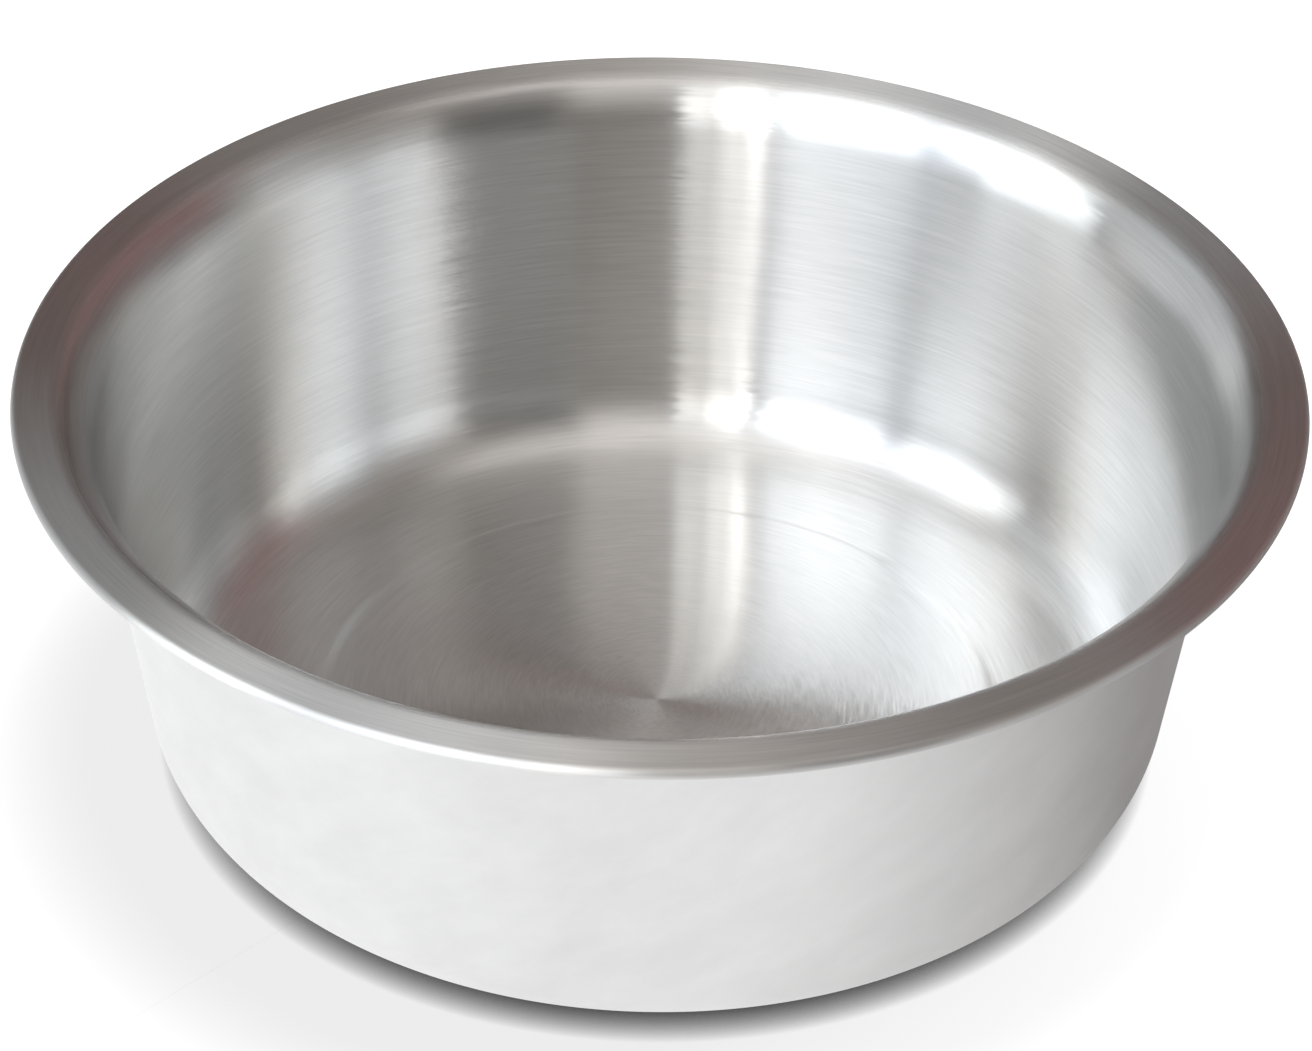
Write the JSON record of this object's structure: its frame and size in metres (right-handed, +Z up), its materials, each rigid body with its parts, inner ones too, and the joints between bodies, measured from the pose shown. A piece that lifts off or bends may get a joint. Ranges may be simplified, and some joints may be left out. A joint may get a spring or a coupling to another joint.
{
  "type": "pet food bowl",
  "caption": "Round drawn steel pet food bowl with a leaning wall, a rounded base, a flared flange and a curled edge; stands on its flat base and holds food or water.",
  "frame": {"origin": "centre of the base, on the surface that the bowl stands on", "axes": "+Z up along the bowl's axis; X and Y are alike because the bowl is round"},
  "size_m": [0.22, 0.22, 0.073],
  "materials": {
    "steel_sheet": "fine brush lines round the axis on the inside and the flange, satin polish on the outside"
  },
  "bodies": {
    "root": {"bowl_shell": "steel_sheet"}
  },
  "joints": []
}
